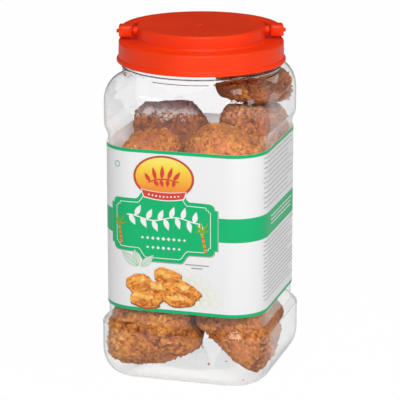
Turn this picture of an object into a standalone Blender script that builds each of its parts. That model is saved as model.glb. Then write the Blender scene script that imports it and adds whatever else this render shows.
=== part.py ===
"""A clear PET jar of jaggery lumps: jar, screw lid with a folding carry handle, wrap label, and the lumps inside.

Metres, +Z up. The origin is the middle of the foot; the label's front panel faces -Y.
"""

import math
import random

import bmesh
import bpy
from mathutils import Euler, Matrix, Vector, noise

MM = 0.001

# Driving dimensions, in metres.
PANEL_HALF = 49.6 * MM  # half-width of the label panel
PANEL_CORNER = 21.2 * MM  # its corner radius in plan
FOOT_OUT = 4 * MM  # how far the foot stands out from the panel
SHOULDER_OUT = 2.2 * MM  # and the shoulder
WALL = 0.9 * MM
FOOT_ROUND = 16 * MM  # height of the foot's rounding
FOOT_TUCK = 12.8 * MM  # how far that rounding runs in under the foot
FOOT_TOP = 32.6 * MM
PANEL_BOTTOM = 37.4 * MM
PANEL_TOP = 150.6 * MM
SHOULDER_BOTTOM = 157.6 * MM
SHOULDER_ROUND_START = 172.5 * MM
SHOULDER_RISE = 17 * MM  # height of the shoulder's rounding
SHOULDER_RUN = 16 * MM  # how far that rounding runs in
NECK_RADIUS = 47.4 * MM
MOUTH_TOP = 202.6 * MM
BEAD_HEIGHT = 190 * MM
BEAD_PROUD = 1.4 * MM
STAND_RING = 4 * MM  # width of the flat ring that the jar stands on
PUSH_UP_RADIUS = 31 * MM
PUSH_UP_HEIGHT = 2.6 * MM

LABEL_BOTTOM = 45.9 * MM
LABEL_TOP = 146.7 * MM
LABEL_GAP = 0.3 * MM
LABEL_THICK = 0.4 * MM

LIP_RADIUS = 51.3 * MM
LIP_BOTTOM = 192.3 * MM
SKIRT_RADIUS = 50 * MM
LID_INSIDE_RADIUS = 49.2 * MM
LID_DECK = 205 * MM  # height of the flat ring round the raised disc
LID_TOP = 213.9 * MM
LID_WALL = 1.7 * MM
DISC_RADIUS = 38.7 * MM
EDGE = 1.2 * MM  # rounding of the lid's edges

HANDLE_TURN = math.radians(18)  # where the screwed-down lid leaves its hinge line
HANDLE_INNER = 41.8 * MM
HANDLE_OUTER = 49.8 * MM
HANDLE_THICK = 5.8 * MM
HANDLE_ROUND = 1 * MM  # rounding of the bar's edges
HANDLE_PAST_PIN = 3 * MM  # how far each end block reaches past its pin
PIVOT_HEIGHT = 210.3 * MM
PIN_RADIUS = 1.2 * MM
SOCKET_RADIUS = 1.6 * MM
BOSS_RADIUS = 2.6 * MM
BOSS_END = 41.2 * MM
PIN_INSIDE = 39.4 * MM
NUB_END = 51.2 * MM

AROUND = 48  # segments round every turned piece
FLAT_STEPS = 4  # segments across each face of the square jar
CORNER_STEPS = 5  # and round each of its corners
CORNER_ANGLE = math.radians(30)  # the share of a turn that each corner takes
LUMP_NOISE = 0.16  # relief of a lump's coarse shape, as a share of its radius
LUMP_SQUARENESS = 2.8  # power of a lump's rounded block: 2 is an ellipsoid
LUMP_GAP = 0.6 * MM
FACETS = 9  # faces broken off each lump
FACET_NEAR, FACET_FAR = 0.84, 1.04  # how far out those faces lie, as a share of the lump's own reach
WALL_CLEAR = 1.8 * MM
LUMP_DETAIL = 3  # subdivisions of each lump's icosphere

# Each lump: its middle and half sizes in millimetres, and its turn in degrees.
LUMPS = {
    "lump_01": ((-23, -23, 26), (33, 26, 26), (4, -14, 10)),
    "lump_02": ((30, -14, 31), (34, 26, 25), (0, 40, 16)),
    "lump_03": ((-24, 27, 24), (22, 19, 20), (0, 10, 20)),
    "lump_04": ((22, 30, 22), (21, 18, 20), (10, 0, 40)),
    "lump_05": ((-23, -24, 74), (24, 22, 23), (20, 0, 10)),
    "lump_06": ((26, -23, 82), (22, 21, 22), (0, 20, -15)),
    "lump_07": ((-24, 23, 75), (22, 22, 24), (15, 10, 0)),
    "lump_08": ((25, 25, 72), (22, 21, 25), (0, -15, 25)),
    "lump_09": ((-26, -22, 126), (20, 22, 25), (0, 8, 8)),
    "lump_10": ((18, -19, 133), (26, 23, 27), (0, 10, 10)),
    "lump_11": ((-25, 18, 135), (26, 20, 32), (0, 2, 14)),
    "lump_12": ((29, 22, 137), (23, 21, 36), (6, -6, 14)),
    "lump_13": ((30, 18, 175), (27, 20, 12), (0, 4, 16)),
}

# Large broken faces: the way each faces, and its distance from the lump's middle in millimetres.
BREAKS = {
    "lump_01": [((0.42, 0.1, -0.9), 21)],
    "lump_02": [((-0.63, -0.18, -0.75), 17)],
    "lump_10": [((0.4, 0, 0.92), 21)],
    "lump_11": [((0, 0, 1), 25)],
}

COLOURS = {  # base colour, metallic, roughness
    "jar": ((0.92, 0.94, 0.94, 1), 0, 0.05),
    "lid": ((0.86, 0.06, 0.01, 1), 0, 0.35),
    "handle": ((0.86, 0.06, 0.01, 1), 0, 0.35),
    "label": ((0.92, 0.92, 0.92, 1), 0, 0.4),
    "lump": ((0.52, 0.2, 0.05, 1), 0, 0.6),
}


def square_radius(angle, half, corner):
    """Distance from the axis to a rounded square's outline, in the direction of angle."""
    turn = angle % (math.pi / 2)
    turn = min(turn, math.pi / 2 - turn)
    middle = half - corner
    if half * math.tan(turn) <= middle:
        return half / math.cos(turn)
    across = math.cos(turn) - math.sin(turn)
    along = math.cos(turn) + math.sin(turn)
    return middle * along + math.sqrt(corner**2 - (middle * across) ** 2)


def smooth_step(low, high, value):
    share = min(max((value - low) / (high - low), 0), 1)
    return share * share * (3 - 2 * share)


def outset(height):
    """How far the jar's outline stands out from the panel's outline at a height."""
    if height < FOOT_ROUND:
        drop = (FOOT_ROUND - height) / FOOT_ROUND
        return FOOT_OUT - FOOT_TUCK * (1 - math.sqrt(1 - drop**2))
    if height > SHOULDER_ROUND_START:
        rise = min((height - SHOULDER_ROUND_START) / SHOULDER_RISE, 1)
        return SHOULDER_OUT - SHOULDER_RUN * (1 - math.sqrt(1 - rise**2))
    foot = 1 - smooth_step(FOOT_TOP, PANEL_BOTTOM, height)
    shoulder = smooth_step(PANEL_TOP, SHOULDER_BOTTOM, height)
    return FOOT_OUT * foot + SHOULDER_OUT * shoulder


def neck_radius(height):
    """The neck's own radius, with its bead under the lid."""
    off = (height - BEAD_HEIGHT) / (1.1 * MM)
    return NECK_RADIUS + BEAD_PROUD * math.exp(-(off**2))


def jar_radius(angle, height, inside=0.0):
    """The jar's outline: the rounded square body, blended into the round neck where that is wider."""
    out = outset(height)
    body = square_radius(angle, PANEL_HALF + out, PANEL_CORNER + out)
    if height < SHOULDER_ROUND_START:
        return body - inside
    neck = neck_radius(height)
    blend = 1.1 * MM
    gap = (body - neck) / blend
    wide = max(body, neck)
    return wide + blend * math.log(1 + math.exp(-abs(gap))) * 0.6 - inside


def base_colour_material(name):
    key = name.split("_")[0]
    colour, metallic, roughness = COLOURS[key]
    material = bpy.data.materials.get(key) or bpy.data.materials.new(key)
    material.use_nodes = True
    shader = material.node_tree.nodes["Principled BSDF"]
    shader.inputs["Base Color"].default_value = colour
    shader.inputs["Metallic"].default_value = metallic
    shader.inputs["Roughness"].default_value = roughness
    return material


def link_mesh(name, bm, collection):
    mesh = bpy.data.meshes.new(name)
    bm.to_mesh(mesh)
    bm.free()
    obj = bpy.data.objects.new(name, mesh)
    collection.objects.link(obj)
    return obj


def finish_node(obj):
    """Gives a node its material and smooth shading."""
    obj.data.materials.append(base_colour_material(obj.name))
    obj.data.shade_smooth()
    obj.data.set_sharp_from_angle(angle=math.radians(40))


def loft(rings, close_end):
    """A surface through rings of points, with a fan to a last point if close_end is given."""
    bm = bmesh.new()
    rows = [[bm.verts.new(point) for point in ring] for ring in rings]
    for low, high in zip(rows, rows[1:]):
        for i in range(len(low)):
            j = (i + 1) % len(low)
            bm.faces.new((low[i], low[j], high[j], high[i]))
    if close_end is not None:
        tip = bm.verts.new(close_end)
        last = rows[-1]
        for i in range(len(last)):
            bm.faces.new((last[i], last[(i + 1) % len(last)], tip))
    return bm


def ring_angles():
    """Directions of the points of each ring of the square jar, closer together at its corners."""
    angles = []
    flat = math.pi / 2 - CORNER_ANGLE
    for side in range(4):
        start = side * math.pi / 2 - flat / 2
        angles += [start + flat * i / FLAT_STEPS for i in range(FLAT_STEPS)]
        start += flat
        angles += [start + CORNER_ANGLE * i / CORNER_STEPS for i in range(CORNER_STEPS)]
    return angles


def ring_at(height, radius_of):
    return [
        (radius_of(a) * math.cos(a), radius_of(a) * math.sin(a), height)
        for a in ring_angles()
    ]


def steps(low, high, count):
    return [low + (high - low) * i / count for i in range(count)]


def jar_heights():
    """Heights of the jar's rings, closer together where the outline turns."""
    foot = [FOOT_ROUND * (1 - math.cos(math.pi / 2 * i / 5)) for i in range(5)]
    shoulder = [
        SHOULDER_ROUND_START + SHOULDER_RISE * math.sin(math.pi / 2 * i / 7)
        for i in range(7)
    ]
    return (
        foot
        + [FOOT_ROUND, FOOT_TOP]
        + steps(FOOT_TOP, PANEL_BOTTOM, 3)[1:]
        + [PANEL_BOTTOM, PANEL_TOP]
        + steps(PANEL_TOP, SHOULDER_BOTTOM, 4)[1:]
        + [SHOULDER_BOTTOM]
        + shoulder
        + [SHOULDER_ROUND_START + SHOULDER_RISE + 0.5 * MM, MOUTH_TOP]
    )


def make_jar(collection):
    """The blown jar: one wall with a push-up in its floor and an open mouth."""
    rings = [
        ring_at(h, lambda a, h=h: jar_radius(a, h)) for h in reversed(jar_heights())
    ]
    out = outset(0) - STAND_RING
    flat = ring_at(0, lambda a: square_radius(a, PANEL_HALF + out, PANEL_CORNER + out))
    dome = ring_at(PUSH_UP_HEIGHT, lambda a: PUSH_UP_RADIUS)
    bm = loft(rings + [flat, dome], (0, 0, PUSH_UP_HEIGHT + 0.8 * MM))
    bmesh.ops.recalc_face_normals(bm, faces=bm.faces)
    jar = link_mesh("jar", bm, collection)
    wall = jar.modifiers.new("wall", "SOLIDIFY")
    wall.thickness = WALL
    wall.offset = -1
    finish_node(jar)


def make_label(collection):
    """The wrap label: a thin sleeve round the panel."""
    out = LABEL_GAP + LABEL_THICK

    def outline(angle):
        return square_radius(angle, PANEL_HALF + out, PANEL_CORNER + out)

    bm = loft([ring_at(h, outline) for h in (LABEL_TOP, LABEL_BOTTOM)], None)
    bmesh.ops.recalc_face_normals(bm, faces=bm.faces)
    label = link_mesh("label", bm, collection)
    sleeve = label.modifiers.new("sleeve", "SOLIDIFY")
    sleeve.thickness = LABEL_THICK
    sleeve.offset = -1
    sleeve.use_even_offset = True
    finish_node(label)


def quarter(centre_r, centre_z, radius, start, count=2):
    """Points of a rounded edge in the lid's section, turning a quarter clockwise from start."""
    return [
        (
            centre_r + radius * math.cos(start - math.pi / 2 * i / count),
            centre_z + radius * math.sin(start - math.pi / 2 * i / count),
        )
        for i in range(count + 1)
    ]


def lid_section():
    """The lid's section, from the axis out over the top, down the skirt and back underneath."""
    lip_top = LIP_BOTTOM + 1.8 * MM
    under_deck = LID_DECK - LID_WALL
    inside_disc = DISC_RADIUS - LID_WALL
    return (
        [(0, LID_TOP)]
        + quarter(DISC_RADIUS - EDGE, LID_TOP - EDGE, EDGE, math.pi / 2)
        + [(DISC_RADIUS, LID_DECK + 0.6 * MM), (DISC_RADIUS + 0.6 * MM, LID_DECK)]
        + quarter(SKIRT_RADIUS - EDGE, LID_DECK - EDGE, EDGE, math.pi / 2)
        + [
            (SKIRT_RADIUS, lip_top + 0.4 * MM),
            (LIP_RADIUS, lip_top - 0.4 * MM),
            (LIP_RADIUS, LIP_BOTTOM),
            (LID_INSIDE_RADIUS, LIP_BOTTOM),
            (LID_INSIDE_RADIUS, under_deck),
            (inside_disc, under_deck),
            (inside_disc, LID_TOP - LID_WALL),
            (0, LID_TOP - LID_WALL),
        ]
    )


def turned(name, section, collection):
    """A solid of revolution from a section of (radius, height) points."""
    bm = bmesh.new()
    points = [bm.verts.new((r, 0, z)) for r, z in section]
    for a, b in zip(points, points[1:]):
        bm.edges.new((a, b))
    obj = link_mesh(name, bm, collection)
    screw = obj.modifiers.new("turn", "SCREW")
    screw.steps = AROUND
    screw.render_steps = AROUND
    screw.use_merge_vertices = True
    screw.merge_threshold = 0.00001
    screw.use_normal_calculate = False
    return obj


def rod(name, radius, start, end, height, collection):
    """A round bar along the hinge line, from start to end as distances from the axis."""
    bm = bmesh.new()
    middle = (start + end) / 2
    along = Matrix.Rotation(HANDLE_TURN, 4, "Z")
    place = along @ Matrix.Translation((middle, 0, height))
    place = place @ Matrix.Rotation(math.pi / 2, 4, "Y")
    bmesh.ops.create_cone(
        bm,
        cap_ends=True,
        segments=20,
        radius1=radius,
        radius2=radius,
        depth=abs(end - start),
        matrix=place,
    )
    return link_mesh(name, bm, collection)


def boolean(obj, other, operation):
    modifier = obj.modifiers.new(f"{operation} {other.name}", "BOOLEAN")
    modifier.operation = operation
    modifier.object = other
    other.hide_render = True
    other.display_type = "WIRE"


def make_lid(collection, cutters):
    """The screw lid: skirt with a lip, flat deck, raised disc, and a socket boss for each pin of the handle."""
    lid = turned("lid", lid_section(), collection)
    for side, sign in (("left", -1), ("right", 1)):
        boss_start = sign * (DISC_RADIUS - 0.8 * MM)
        boss = rod(
            f"boss_{side}", BOSS_RADIUS, boss_start, sign * BOSS_END, PIVOT_HEIGHT, cutters
        )
        boolean(lid, boss, "UNION")
        hole = rod(
            f"socket_{side}",
            SOCKET_RADIUS,
            sign * (PIN_INSIDE - 0.4 * MM),
            sign * (BOSS_END + 1 * MM),
            PIVOT_HEIGHT,
            cutters,
        )
        boolean(lid, hole, "DIFFERENCE")
    finish_node(lid)


def bar_section(distance, direction, shift):
    """The handle bar's rounded section, at a distance from the axis in a direction, shifted along the bar."""
    half = HANDLE_THICK / 2
    corners = ((1, -1, -90), (1, 1, 0), (-1, 1, 90), (-1, -1, 180))
    across = Vector((math.cos(direction), math.sin(direction), 0))
    half_width = (HANDLE_OUTER - HANDLE_INNER) / 2
    points = []
    for side, rise, start in corners:
        for step in (0, 45, 90):
            turn = math.radians(start + step)
            r = side * (half_width - HANDLE_ROUND) + HANDLE_ROUND * math.cos(turn)
            z = rise * (half - HANDLE_ROUND) + HANDLE_ROUND * math.sin(turn)
            points.append(across * (distance + r) + shift + Vector((0, 0, PIVOT_HEIGHT + z)))
    return points


def make_handle(collection, cutters):
    """The carry handle: a half ring, straight blocks at its ends, pins into the sockets, and a nub outside each."""
    middle = (HANDLE_INNER + HANDLE_OUTER) / 2
    turns = [math.pi * i / (AROUND // 2) for i in range(AROUND // 2 + 1)]
    past = Vector((0, -HANDLE_PAST_PIN, 0))
    none = Vector((0, 0, 0))
    rings = [bar_section(middle, 0, past)]
    rings += [bar_section(middle, turn, none) for turn in turns]
    rings += [bar_section(middle, math.pi, past)]
    bm = loft(rings, None)
    bmesh.ops.holes_fill(bm, edges=bm.edges, sides=0)
    bmesh.ops.recalc_face_normals(bm, faces=bm.faces)
    bmesh.ops.transform(
        bm, matrix=Matrix.Rotation(HANDLE_TURN, 4, "Z"), verts=bm.verts
    )
    handle = link_mesh("handle", bm, collection)
    for side, sign in (("left", -1), ("right", 1)):
        pin = rod(
            f"pin_{side}",
            PIN_RADIUS,
            sign * PIN_INSIDE,
            sign * NUB_END,
            PIVOT_HEIGHT,
            cutters,
        )
        boolean(handle, pin, "UNION")
    finish_node(handle)


def block_length(parts):
    """The length of a vector as measured in a rounded block."""
    return sum(abs(v) ** LUMP_SQUARENESS for v in parts) ** (1 / LUMP_SQUARENESS)


class Lump:
    """One lump's middle, half sizes, turn and broken faces, and the measure that shares space with neighbours."""

    def __init__(self, name, middle, half_sizes, turn):
        self.middle = Vector(middle) * MM
        self.half = Vector(half_sizes) * MM
        self.turn = Euler([math.radians(t) for t in turn]).to_matrix()
        self.back = self.turn.transposed()
        self.mean = sum(self.half) / 3
        self.faces = [(Vector(way).normalized(), far * MM) for way, far in BREAKS.get(name, [])]
        rng = random.Random(name)
        for _ in range(FACETS):
            way = Vector(rng.gauss(0, 1) for _ in range(3)).normalized()
            reach = Vector(v * h for v, h in zip(self.back @ way, self.half)).length
            self.faces.append((way, reach * rng.uniform(FACET_NEAR, FACET_FAR)))

    def reach(self, point):
        """0 at the lump's middle, growing to its mean half size at its rim."""
        local = self.back @ (point - self.middle)
        return block_length(v / h for v, h in zip(local, self.half)) * self.mean


def in_jar(point):
    """True if a point is inside the jar, clear of its wall and its floor."""
    across = math.hypot(point.x, point.y)
    angle = math.atan2(point.y, point.x)
    clear = WALL + WALL_CLEAR
    push_up = 1 - smooth_step(0.9, 1.25, across / PUSH_UP_RADIUS)
    if point.z < clear + (PUSH_UP_HEIGHT + 0.8 * MM) * push_up:
        return False
    for slope in range(-90, 91, 30):
        out = across + clear * math.cos(math.radians(slope))
        height = max(point.z + clear * math.sin(math.radians(slope)), 0)
        if out > jar_radius(angle, height):
            return False
    return True


def in_own_space(lump, others, point):
    mine = lump.reach(point) + LUMP_GAP
    return in_jar(point) and all(mine <= other.reach(point) for other in others)


def lump_surface(lump, others, direction, seed):
    """The furthest point along a direction that the lump's rough shape and its neighbours allow."""
    ray = lump.turn @ Vector(d * h for d, h in zip(direction, lump.half))
    rough = noise.noise(direction * 1.5 + seed) + 0.5 * noise.noise(direction * 3.4 - seed)
    ray *= (1 + LUMP_NOISE * rough) / block_length(direction)
    for way, far in lump.faces:
        ray *= min(1, far / max(way.dot(ray), far))
    low, high = 0.0, 1.0
    if in_own_space(lump, others, lump.middle + ray):
        return lump.middle + ray
    for _ in range(40):
        share = (low + high) / 2
        walk = lump.middle + ray * share
        if in_own_space(lump, others, walk):
            low = share
        else:
            high = share
    return lump.middle + ray * low


def make_lumps(collection):
    """The lumps: rough blocks with broken faces, each kept out of its neighbours and the wall."""
    shapes = {name: Lump(name, *numbers) for name, numbers in LUMPS.items()}
    for index, (name, lump) in enumerate(shapes.items()):
        others = [other for other in shapes.values() if other is not lump]
        bm = bmesh.new()
        bmesh.ops.create_icosphere(bm, subdivisions=LUMP_DETAIL, radius=1)
        seed = Vector((3.1, 5.7, 8.3)) * (index + 1)
        for vert in bm.verts:
            vert.co = lump_surface(lump, others, vert.co.normalized(), seed)
        finish_node(link_mesh(name, bm, collection))


def main():
    for obj in list(bpy.data.objects):
        bpy.data.objects.remove(obj)
    parts = bpy.data.collections.new("jaggery_jar")
    cutters = bpy.data.collections.new("cutters")
    for collection in (parts, cutters):
        bpy.context.scene.collection.children.link(collection)
    make_jar(parts)
    make_label(parts)
    make_lid(parts, cutters)
    make_handle(parts, cutters)
    make_lumps(parts)


main()
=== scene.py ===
import math
import random

import bmesh
import bpy
import numpy as np
from mathutils import Matrix, Vector, noise


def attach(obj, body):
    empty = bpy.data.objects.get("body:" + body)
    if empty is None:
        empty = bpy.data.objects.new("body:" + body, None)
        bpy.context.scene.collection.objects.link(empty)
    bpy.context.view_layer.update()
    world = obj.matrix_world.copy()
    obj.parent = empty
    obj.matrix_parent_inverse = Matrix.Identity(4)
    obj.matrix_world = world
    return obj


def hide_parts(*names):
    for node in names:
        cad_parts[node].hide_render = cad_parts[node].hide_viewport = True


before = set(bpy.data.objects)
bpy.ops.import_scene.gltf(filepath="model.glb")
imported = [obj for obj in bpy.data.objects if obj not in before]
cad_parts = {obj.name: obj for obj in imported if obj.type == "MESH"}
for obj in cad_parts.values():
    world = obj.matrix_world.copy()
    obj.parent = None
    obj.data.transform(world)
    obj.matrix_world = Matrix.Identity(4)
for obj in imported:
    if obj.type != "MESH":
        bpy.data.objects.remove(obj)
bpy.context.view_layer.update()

MM = 0.001
BODY = "jar_and_lid"
GRIP = "carry_handle"

# The part's own dimensions, in metres, as in the CAD.
PANEL_HALF = 49.6 * MM
PANEL_CORNER = 21.2 * MM
FOOT_OUT = 4 * MM
SHOULDER_OUT = 2.2 * MM
WALL = 0.9 * MM
FOOT_ROUND = 16 * MM
FOOT_TUCK = 12.8 * MM
FOOT_TOP = 32.6 * MM
PANEL_BOTTOM = 37.4 * MM
PANEL_TOP = 150.6 * MM
SHOULDER_BOTTOM = 157.6 * MM
SHOULDER_ROUND_START = 172.5 * MM
SHOULDER_RISE = 17 * MM
SHOULDER_RUN = 16 * MM
NECK_RINGS_START = 184 * MM  # above it the wall has fine, even rings
NECK_RADIUS = 47.4 * MM
MOUTH_TOP = 202.6 * MM
BEAD_HEIGHT = 190 * MM
BEAD_PROUD = 1.4 * MM
CREASE = 0.55 * MM  # depth of the fold between shoulder and neck
STAND_RING = 4 * MM
PUSH_UP_RADIUS = 31 * MM
PUSH_UP_HEIGHT = 2.6 * MM
PUSH_UP_FOOT = PUSH_UP_RADIUS * 1.18  # where its slope would meet the stand ring
PUSH_UP_CROWN = 0.8 * MM  # further rise to the middle
LABEL_BOTTOM = 45.9 * MM
LABEL_TOP = 146.7 * MM
LABEL_HALF = 50.3 * MM
LABEL_CORNER = 21.9 * MM
LIP_RADIUS = 51.3 * MM
LIP_BOTTOM = 192.3 * MM
SKIRT_RADIUS = 50 * MM
LID_INSIDE_RADIUS = 49.2 * MM
LID_DECK = 205 * MM
LID_TOP = 213.9 * MM
LID_WALL = 1.7 * MM
DISC_RADIUS = 38.7 * MM
HANDLE_TURN = math.radians(18)
HANDLE_INNER = 41.8 * MM
HANDLE_OUTER = 49.8 * MM
HANDLE_THICK = 5.8 * MM
HANDLE_PAST_PIN = 3 * MM
PIVOT_HEIGHT = 210.3 * MM
PIN_RADIUS = 1.2 * MM
SOCKET_RADIUS = 1.6 * MM
BOSS_RADIUS = 2.6 * MM
BOSS_END = 41.2 * MM
NUB_END = 51.2 * MM

# The camera: where it stands round the jar, how high, and how far down it looks.
CAMERA_AZIMUTH = math.radians(16.26)
CAMERA_DISTANCE = 1394.2 * MM
CAMERA_HEIGHT = 492.7 * MM
CAMERA_TILT = math.radians(15.59)
CAMERA_ASIDE = -0.74 * MM
CAMERA_LENS = 211.3

WORLD_LIGHT = 0.40  # strength of the surround as light on surfaces
WORLD_GLOSS = 0.03  # and as seen in reflections
CRUMBS = 14  # loose crumbs on the floor
FLOOR_GLOW = 0.985  # share of the floor's look that is its own even white
MIRRORED_WHITE = 0.35  # share of the white surround left after a reflection inside the clear plastic


# ---------------------------------------------------------------- materials


def set_inputs(node, values):
    """Gives a node's inputs their values."""
    for name, value in values.items():
        node.inputs[name].default_value = value


def new_material(name, values):
    """A material with values for its shader, and its nodes and that shader."""
    material = bpy.data.materials.new(name)
    material.use_nodes = True
    nodes = material.node_tree.nodes
    shader = nodes["Principled BSDF"]
    set_inputs(shader, values)
    return material, nodes, shader


def add_node(nodes, kind, values=None, operation=None):
    """Adds a shader node with values for its inputs and, if it is a maths node, its operation."""
    node = nodes.new(f"ShaderNode{kind}")
    if operation:
        node.operation = operation
    set_inputs(node, values or {})
    return node


def join(source, output, target, name):
    """Links a node's output to another node's input."""
    source.id_data.links.new(source.outputs[output], target.inputs[name])


def object_noise(nodes, values):
    """A noise texture fixed to the object."""
    grain = add_node(nodes, "TexNoise", values)
    join(add_node(nodes, "TexCoord"), "Object", grain, "Vector")
    return grain


def add_bump(nodes, shader, grain, strength, distance):
    """Lets a noise texture roughen a shader's surface."""
    lift = add_node(nodes, "Bump", {"Strength": strength, "Distance": distance})
    join(grain, "Fac", lift, "Height")
    join(lift, "Normal", shader, "Normal")


def add_colours(nodes, shader, source, output, stops):
    """Colours a shader by a node's output."""
    colours = ramp(nodes, stops)
    join(source, output, colours, "Fac")
    join(colours, "Color", shader, "Base Color")


def mix_surface(nodes, source, output, first, second):
    """Makes a material's surface a mix of two shaders, the second as far as a node's output says."""
    mix = add_node(nodes, "MixShader")
    join(source, output, mix, "Fac")
    join(first, 0, mix, 1)
    join(second, 0, mix, 2)
    join(mix, "Shader", nodes["Material Output"], "Surface")


def plain(name, colour, roughness=0.4, bump=0.0, bump_scale=400.0, specular=0.5):
    """A material with one colour and, if bump is given, a fine uneven surface."""
    values = {"Base Color": (*colour, 1), "Roughness": roughness, "Specular IOR Level": specular}
    material, nodes, shader = new_material(name, values)
    if bump:
        grain = object_noise(nodes, {"Scale": bump_scale, "Detail": 3})
        add_bump(nodes, shader, grain, bump, 0.2 * MM)
    return material


def ramp(nodes, stops):
    """A colour ramp with (position, colour) stops."""
    node = nodes.new("ShaderNodeValToRGB")
    elements = node.color_ramp.elements
    while len(elements) < len(stops):
        elements.new(0.5)
    for element, (position, colour) in zip(elements, stops):
        element.position = position
        element.color = (*colour, 1)
    return node


def clear_plastic():
    """Clear blown PET. Lamps shine straight through it, so it casts no dark shadow on the lumps."""
    values = {"Base Color": (0.996, 0.998, 0.998, 1), "Roughness": 0.02, "IOR": 1.4, "Transmission Weight": 1}
    material, nodes, shader = new_material("clear_pet", values)
    rays = add_node(nodes, "LightPath")
    mix_surface(nodes, rays, "Is Shadow Ray", shader, add_node(nodes, "BsdfTransparent"))
    return material


def red_plastic():
    """Orange-red moulded plastic with a satin gloss and faint unevenness in colour and gloss."""
    material, nodes, shader = new_material("red_plastic_shiny", {"Specular IOR Level": 0.25})
    cloud = object_noise(nodes, {"Scale": 35, "Detail": 4})
    add_colours(nodes, shader, cloud, "Fac", [(0.3, (0.90, 0.038, 0.002)), (0.7, (0.98, 0.048, 0.003))])
    gloss = add_node(nodes, "MapRange", {"To Min": 0.26, "To Max": 0.38})
    join(cloud, "Fac", gloss, "Value")
    join(gloss, "Result", shader, "Roughness")
    add_bump(nodes, shader, object_noise(nodes, {"Scale": 900, "Detail": 2}), 0.12, 0.2 * MM)
    return material


def attribute(nodes, name):
    """A node that reads what a lump's vertices carry under a name."""
    node = nodes.new("ShaderNodeAttribute")
    node.attribute_name = name
    return node


def mixed_colours(nodes, share, values):
    """A node that mixes two colours as far as an attribute says."""
    node = nodes.new("ShaderNodeMix")
    node.data_type = "RGBA"
    set_inputs(node, values)
    join(share, "Fac", node, "Factor")
    return node


def jaggery_material():
    """Jaggery: brown-orange body, golden crumbly ridges, pits darkened by painted shade, and dull mauve-brown
    smooth patches.

    Each vertex carries how light it is (the crumbs' own golden colour, with painted shade in grooves and
    hollows and painted light on raised parts), its tone (1 on a smooth patch) and a pale painted reflection
    of the studio light.
    """
    values = {
        "Subsurface Weight": 0.12,
        "Subsurface Radius": (4 * MM, 1.4 * MM, 0.5 * MM),
        "Subsurface Scale": 0.6,
    }
    material, nodes, shader = new_material("jaggery_lump", values)
    crumbs_and_painted_shade, tone, painted_reflection = (attribute(nodes, name) for name in ("crumbs_and_painted_shade", "tone", "painted_reflection"))
    grain = object_noise(nodes, {"Scale": 430, "Detail": 6, "Roughness": 0.78, "Distortion": 0.6})
    spread = add_node(nodes, "MapRange", {"From Min": 0.3, "From Max": 0.7, "To Min": -0.34, "To Max": 0.34})
    join(grain, "Fac", spread, "Value")
    total = add_node(nodes, "Math", operation="ADD")
    join(crumbs_and_painted_shade, "Fac", total, 0)
    join(spread, "Result", total, 1)
    golden = ramp(
        nodes,
        [
            (0.02, (0.13, 0.026, 0.004)),
            (0.27, (0.44, 0.112, 0.015)),
            (0.48, (0.72, 0.225, 0.030)),
            (0.68, (0.90, 0.37, 0.058)),
            (0.92, (1.00, 0.66, 0.18)),
        ],
    )
    smooth = ramp(
        nodes,
        [
            (0.05, (0.17, 0.036, 0.009)),
            (0.42, (0.58, 0.155, 0.036)),
            (0.8, (0.86, 0.31, 0.080)),
        ],
    )
    join(total, "Value", golden, "Fac")
    join(total, "Value", smooth, "Fac")
    kind = mixed_colours(nodes, tone, {})
    join(golden, "Color", kind, "A")
    join(smooth, "Color", kind, "B")
    # Pale painted reflection of the studio light, laid over the lump's colour.
    pale = mixed_colours(nodes, painted_reflection, {"B": (0.90, 0.86, 0.85, 1)})
    join(kind, "Result", pale, "A")
    join(pale, "Result", shader, "Base Color")
    gloss = add_node(nodes, "MapRange", {"To Min": 0.72, "To Max": 0.42})
    join(tone, "Fac", gloss, "Value")
    join(gloss, "Result", shader, "Roughness")
    add_bump(nodes, shader, grain, 0.8, 1.2 * MM)
    return material


def printed_lump_material(name, dark, middle, light):
    """Ink of the label's picture of lumps: blotchy gold over brown."""
    material, nodes, shader = new_material(name, {"Roughness": 0.35})
    blot = object_noise(nodes, {"Scale": 330, "Detail": 4, "Distortion": 1.2})
    add_colours(nodes, shader, blot, "Fac", [(0.36, dark), (0.5, middle), (0.66, light)])
    return material


def faded_ink(name, low_height, high_height, stops):
    """Ink that changes colour with height on the jar."""
    material, nodes, shader = new_material(name, {"Roughness": 0.35})
    split = add_node(nodes, "SeparateXYZ")
    share = add_node(nodes, "MapRange", {"From Min": low_height, "From Max": high_height})
    join(add_node(nodes, "TexCoord"), "Object", split, "Vector")
    join(split, "Z", share, "Value")
    add_colours(nodes, shader, share, "Result", stops)
    return material


def label_film():
    """The label's white film."""
    return plain("label_white", (0.88, 0.88, 0.88), 0.32, bump=0.1, bump_scale=60)


def label_inside_painted_glow():
    """The film's inside face, with a weak painted glow that stands in for the light coming through the thin
    film.
    """
    material = plain("label_inside_painted_glow", (0.80, 0.76, 0.76), 0.5)
    glow = {"Emission Color": (0.80, 0.74, 0.74, 1), "Emission Strength": 0.5}
    set_inputs(material.node_tree.nodes["Principled BSDF"], glow)
    return material


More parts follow.
